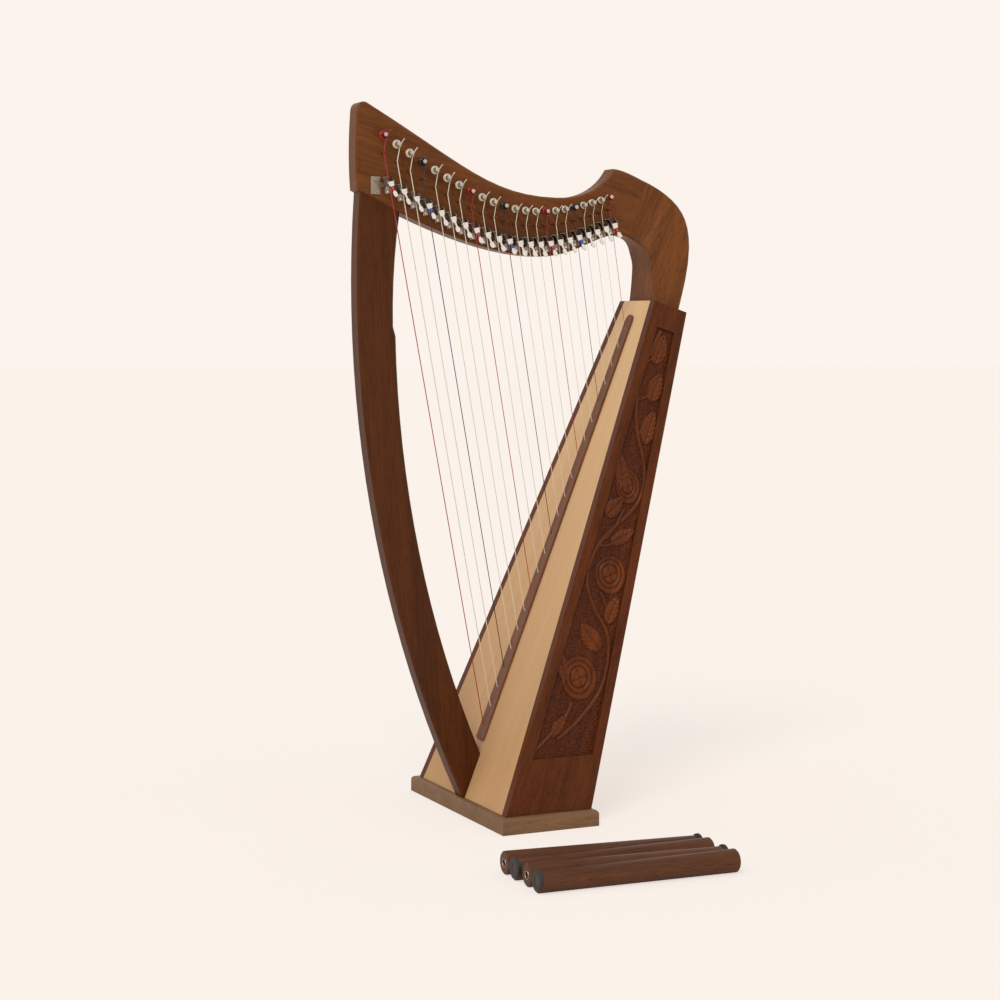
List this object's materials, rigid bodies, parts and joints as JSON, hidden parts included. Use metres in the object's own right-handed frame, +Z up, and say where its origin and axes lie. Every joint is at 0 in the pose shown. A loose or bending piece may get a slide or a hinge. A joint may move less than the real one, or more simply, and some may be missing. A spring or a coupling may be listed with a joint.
{
  "type": "lever harp",
  "caption": "Small floor harp with a carved, tapering soundbox, curved pillar and neck, a sharping lever on every string, a base plate and detached screw-in legs.",
  "frame": {"origin": "centre of the base plate's underside", "axes": "+Z up; the pillar is at -X and the back of the soundbox at +X; the levers and tuning pins' strings are on the -Y side"},
  "size_m": [0.4744, 0.5753, 0.9136],
  "materials": {
    "base_wood": "satin lacquer",
    "box_wood": "carved, satin lacquer",
    "soundboard_wood": "satin lacquer",
    "back_wood": "satin lacquer",
    "strip_wood": "satin lacquer",
    "block_wood": "raw",
    "neck_wood": "satin lacquer",
    "shoulder_wood": "satin lacquer",
    "pillar_wood": "satin lacquer",
    "leg_wood": "satin lacquer",
    "pin_metal": "polished nickel",
    "bracket_metal": "polished nickel",
    "lever_metal": "polished nickel",
    "string_nylon": "drawn"
  },
  "bodies": {
    "harp": {"base_plate": "base_wood", "soundboard": "soundboard_wood", "string_strip": "strip_wood", "side_panel_left": "box_wood", "side_panel_right": "box_wood", "back_panel": "back_wood", "top_block": "block_wood", "pillar": "pillar_wood", "neck": "neck_wood", "shoulder_block": "shoulder_wood", "lever_brackets": "bracket_metal", "strings": "string_nylon"},
    "leg_1": {"leg_1": "leg_wood"},
    "leg_2": {"leg_2": "leg_wood"},
    "leg_3": {"leg_3": "leg_wood"},
    "leg_4": {"leg_4": "leg_wood"},
    "tuning_pin_01": {"tuning_pin_01": "pin_metal"},
    "tuning_pin_02": {"tuning_pin_02": "pin_metal"},
    "tuning_pin_03": {"tuning_pin_03": "pin_metal"},
    "tuning_pin_04": {"tuning_pin_04": "pin_metal"},
    "tuning_pin_05": {"tuning_pin_05": "pin_metal"},
    "tuning_pin_06": {"tuning_pin_06": "pin_metal"},
    "tuning_pin_07": {"tuning_pin_07": "pin_metal"},
    "tuning_pin_08": {"tuning_pin_08": "pin_metal"},
    "tuning_pin_09": {"tuning_pin_09": "pin_metal"},
    "tuning_pin_10": {"tuning_pin_10": "pin_metal"},
    "tuning_pin_11": {"tuning_pin_11": "pin_metal"},
    "tuning_pin_12": {"tuning_pin_12": "pin_metal"},
    "tuning_pin_13": {"tuning_pin_13": "pin_metal"},
    "tuning_pin_14": {"tuning_pin_14": "pin_metal"},
    "tuning_pin_15": {"tuning_pin_15": "pin_metal"},
    "tuning_pin_16": {"tuning_pin_16": "pin_metal"},
    "tuning_pin_17": {"tuning_pin_17": "pin_metal"},
    "tuning_pin_18": {"tuning_pin_18": "pin_metal"},
    "tuning_pin_19": {"tuning_pin_19": "pin_metal"},
    "tuning_pin_20": {"tuning_pin_20": "pin_metal"},
    "tuning_pin_21": {"tuning_pin_21": "pin_metal"},
    "tuning_pin_22": {"tuning_pin_22": "pin_metal"},
    "lever_01": {"lever_01": "lever_metal"},
    "lever_02": {"lever_02": "lever_metal"},
    "lever_03": {"lever_03": "lever_metal"},
    "lever_04": {"lever_04": "lever_metal"},
    "lever_05": {"lever_05": "lever_metal"},
    "lever_06": {"lever_06": "lever_metal"},
    "lever_07": {"lever_07": "lever_metal"},
    "lever_08": {"lever_08": "lever_metal"},
    "lever_09": {"lever_09": "lever_metal"},
    "lever_10": {"lever_10": "lever_metal"},
    "lever_11": {"lever_11": "lever_metal"},
    "lever_12": {"lever_12": "lever_metal"},
    "lever_13": {"lever_13": "lever_metal"},
    "lever_14": {"lever_14": "lever_metal"},
    "lever_15": {"lever_15": "lever_metal"},
    "lever_16": {"lever_16": "lever_metal"},
    "lever_17": {"lever_17": "lever_metal"},
    "lever_18": {"lever_18": "lever_metal"},
    "lever_19": {"lever_19": "lever_metal"},
    "lever_20": {"lever_20": "lever_metal"},
    "lever_21": {"lever_21": "lever_metal"},
    "lever_22": {"lever_22": "lever_metal"}
  },
  "joints": [
    {"name": "lever_01_flip", "type": "hinge", "parent": "harp", "child": "lever_01", "pos_m": [-0.1733, -0.0297, 0.81308], "axis": [-0.9789, 0, -0.2042], "range_deg": [0, 95]},
    {"name": "tuning_pin_01_turn", "type": "hinge", "parent": "harp", "child": "tuning_pin_01", "pos_m": [-0.17946, 0, 0.87258], "axis": [0, 1, 0], "continuous": true},
    {"name": "leg_1_lift", "type": "slide", "parent": "harp", "child": "leg_1", "axis": [0, 0, 1], "range_m": [0, 0.12]},
    {"name": "lever_22_flip", "type": "hinge", "parent": "harp", "child": "lever_22", "pos_m": [0.14471, -0.0297, 0.7696], "axis": [-0.9699, 0, -0.2433], "range_deg": [0, 95]},
    {"name": "tuning_pin_22_turn", "type": "hinge", "parent": "harp", "child": "tuning_pin_22", "pos_m": [0.141, 0, 0.80538], "axis": [0, 1, 0], "continuous": true},
    {"name": "leg_4_lift", "type": "slide", "parent": "harp", "child": "leg_4", "axis": [0, 0, 1], "range_m": [0, 0.12]},
    {"name": "lever_12_flip", "type": "hinge", "parent": "harp", "child": "lever_12", "pos_m": [0.00697, -0.0297, 0.74349], "axis": [-0.9794, 0, -0.2017], "range_deg": [0, 95]},
    {"name": "tuning_pin_12_turn", "type": "hinge", "parent": "harp", "child": "tuning_pin_12", "pos_m": [0.00347, 0, 0.78638], "axis": [0, 1, 0], "continuous": true},
    {"name": "leg_2_lift", "type": "slide", "parent": "harp", "child": "leg_2", "axis": [0, 0, 1], "range_m": [0, 0.12]},
    {"name": "leg_3_lift", "type": "slide", "parent": "harp", "child": "leg_3", "axis": [0, 0, 1], "range_m": [0, 0.12]},
    {"name": "lever_02_flip", "type": "hinge", "parent": "harp", "child": "lever_02", "pos_m": [-0.15566, -0.0297, 0.80422], "axis": [-0.9792, 0, -0.203], "range_deg": [0, 95]},
    {"name": "tuning_pin_02_turn", "type": "hinge", "parent": "harp", "child": "tuning_pin_02", "pos_m": [-0.16146, 0, 0.86183], "axis": [0, 1, 0], "continuous": true},
    {"name": "lever_03_flip", "type": "hinge", "parent": "harp", "child": "lever_03", "pos_m": [-0.13827, -0.0297, 0.79559], "axis": [-0.9794, 0, -0.2021], "range_deg": [0, 95]},
    {"name": "tuning_pin_03_turn", "type": "hinge", "parent": "harp", "child": "tuning_pin_03", "pos_m": [-0.14374, 0, 0.85138], "axis": [0, 1, 0], "continuous": true},
    {"name": "lever_04_flip", "type": "hinge", "parent": "harp", "child": "lever_04", "pos_m": [-0.12112, -0.0297, 0.78724], "axis": [-0.9795, 0, -0.2013], "range_deg": [0, 95]},
    {"name": "tuning_pin_04_turn", "type": "hinge", "parent": "harp", "child": "tuning_pin_04", "pos_m": [-0.12628, 0, 0.84128], "axis": [0, 1, 0], "continuous": true},
    {"name": "lever_05_flip", "type": "hinge", "parent": "harp", "child": "lever_05", "pos_m": [-0.10423, -0.0297, 0.77925], "axis": [-0.9796, 0, -0.2007], "range_deg": [0, 95]},
    {"name": "tuning_pin_05_turn", "type": "hinge", "parent": "harp", "child": "tuning_pin_05", "pos_m": [-0.10911, 0, 0.83163], "axis": [0, 1, 0], "continuous": true},
    {"name": "lever_06_flip", "type": "hinge", "parent": "harp", "child": "lever_06", "pos_m": [-0.08758, -0.0297, 0.77172], "axis": [-0.9797, 0, -0.2004], "range_deg": [0, 95]},
    {"name": "tuning_pin_06_turn", "type": "hinge", "parent": "harp", "child": "tuning_pin_06", "pos_m": [-0.0922, 0, 0.82252], "axis": [0, 1, 0], "continuous": true},
    {"name": "lever_07_flip", "type": "hinge", "parent": "harp", "child": "lever_07", "pos_m": [-0.07119, -0.0297, 0.76478], "axis": [-0.9798, 0, -0.2002], "range_deg": [0, 95]},
    {"name": "tuning_pin_07_turn", "type": "hinge", "parent": "harp", "child": "tuning_pin_07", "pos_m": [-0.07557, 0, 0.81406], "axis": [0, 1, 0], "continuous": true},
    {"name": "lever_08_flip", "type": "hinge", "parent": "harp", "child": "lever_08", "pos_m": [-0.05505, -0.0297, 0.75855], "axis": [-0.9798, 0, -0.2002], "range_deg": [0, 95]},
    {"name": "tuning_pin_08_turn", "type": "hinge", "parent": "harp", "child": "tuning_pin_08", "pos_m": [-0.05922, 0, 0.8064], "axis": [0, 1, 0], "continuous": true},
    {"name": "lever_09_flip", "type": "hinge", "parent": "harp", "child": "lever_09", "pos_m": [-0.03916, -0.0297, 0.75317], "axis": [-0.9797, 0, -0.2004], "range_deg": [0, 95]},
    {"name": "tuning_pin_09_turn", "type": "hinge", "parent": "harp", "child": "tuning_pin_09", "pos_m": [-0.04313, 0, 0.79967], "axis": [0, 1, 0], "continuous": true},
    {"name": "lever_10_flip", "type": "hinge", "parent": "harp", "child": "lever_10", "pos_m": [-0.02353, -0.0297, 0.7488], "axis": [-0.9796, 0, -0.2007], "range_deg": [0, 95]},
    {"name": "tuning_pin_10_turn", "type": "hinge", "parent": "harp", "child": "tuning_pin_10", "pos_m": [-0.02733, 0, 0.79402], "axis": [0, 1, 0], "continuous": true},
    {"name": "lever_11_flip", "type": "hinge", "parent": "harp", "child": "lever_11", "pos_m": [-0.00815, -0.0297, 0.74555], "axis": [-0.9796, 0, -0.2012], "range_deg": [0, 95]},
    {"name": "tuning_pin_11_turn", "type": "hinge", "parent": "harp", "child": "tuning_pin_11", "pos_m": [-0.01179, 0, 0.78956], "axis": [0, 1, 0], "continuous": true},
    {"name": "lever_13_flip", "type": "hinge", "parent": "harp", "child": "lever_13", "pos_m": [0.02184, -0.0297, 0.74264], "axis": [-0.9793, 0, -0.2023], "range_deg": [0, 95]},
    {"name": "tuning_pin_13_turn", "type": "hinge", "parent": "harp", "child": "tuning_pin_13", "pos_m": [0.01845, 0, 0.78448], "axis": [0, 1, 0], "continuous": true},
    {"name": "lever_14_flip", "type": "hinge", "parent": "harp", "child": "lever_14", "pos_m": [0.03645, -0.0297, 0.74294], "axis": [-0.9791, 0, -0.2032], "range_deg": [0, 95]},
    {"name": "tuning_pin_14_turn", "type": "hinge", "parent": "harp", "child": "tuning_pin_14", "pos_m": [0.03317, 0, 0.78382], "axis": [0, 1, 0], "continuous": true},
    {"name": "lever_15_flip", "type": "hinge", "parent": "harp", "child": "lever_15", "pos_m": [0.0508, -0.0297, 0.74427], "axis": [-0.9789, 0, -0.2042], "range_deg": [0, 95]},
    {"name": "tuning_pin_15_turn", "type": "hinge", "parent": "harp", "child": "tuning_pin_15", "pos_m": [0.0476, 0, 0.78426], "axis": [0, 1, 0], "continuous": true},
    {"name": "lever_16_flip", "type": "hinge", "parent": "harp", "child": "lever_16", "pos_m": [0.06491, -0.0297, 0.74648], "axis": [-0.9786, 0, -0.2057], "range_deg": [0, 95]},
    {"name": "tuning_pin_16_turn", "type": "hinge", "parent": "harp", "child": "tuning_pin_16", "pos_m": [0.06177, 0, 0.78565], "axis": [0, 1, 0], "continuous": true},
    {"name": "lever_17_flip", "type": "hinge", "parent": "harp", "child": "lever_17", "pos_m": [0.07877, -0.0297, 0.7494], "axis": [-0.9782, 0, -0.2079], "range_deg": [0, 95]},
    {"name": "tuning_pin_17_turn", "type": "hinge", "parent": "harp", "child": "tuning_pin_17", "pos_m": [0.07566, 0, 0.78783], "axis": [0, 1, 0], "continuous": true},
    {"name": "lever_18_flip", "type": "hinge", "parent": "harp", "child": "lever_18", "pos_m": [0.0924, -0.0297, 0.75287], "axis": [-0.9775, 0, -0.211], "range_deg": [0, 95]},
    {"name": "tuning_pin_18_turn", "type": "hinge", "parent": "harp", "child": "tuning_pin_18", "pos_m": [0.08927, 0, 0.79063], "axis": [0, 1, 0], "continuous": true},
    {"name": "lever_19_flip", "type": "hinge", "parent": "harp", "child": "lever_19", "pos_m": [0.10579, -0.0297, 0.75673], "axis": [-0.9765, 0, -0.2154], "range_deg": [0, 95]},
    {"name": "tuning_pin_19_turn", "type": "hinge", "parent": "harp", "child": "tuning_pin_19", "pos_m": [0.10262, 0, 0.7939], "axis": [0, 1, 0], "continuous": true},
    {"name": "lever_20_flip", "type": "hinge", "parent": "harp", "child": "lever_20", "pos_m": [0.11896, -0.0297, 0.76087], "axis": [-0.9751, 0, -0.2217], "range_deg": [0, 95]},
    {"name": "tuning_pin_20_turn", "type": "hinge", "parent": "harp", "child": "tuning_pin_20", "pos_m": [0.11568, 0, 0.79752], "axis": [0, 1, 0], "continuous": true},
    {"name": "lever_21_flip", "type": "hinge", "parent": "harp", "child": "lever_21", "pos_m": [0.13193, -0.0297, 0.76519], "axis": [-0.973, 0, -0.2307], "range_deg": [0, 95]},
    {"name": "tuning_pin_21_turn", "type": "hinge", "parent": "harp", "child": "tuning_pin_21", "pos_m": [0.12848, 0, 0.80138], "axis": [0, 1, 0], "continuous": true}
  ]
}
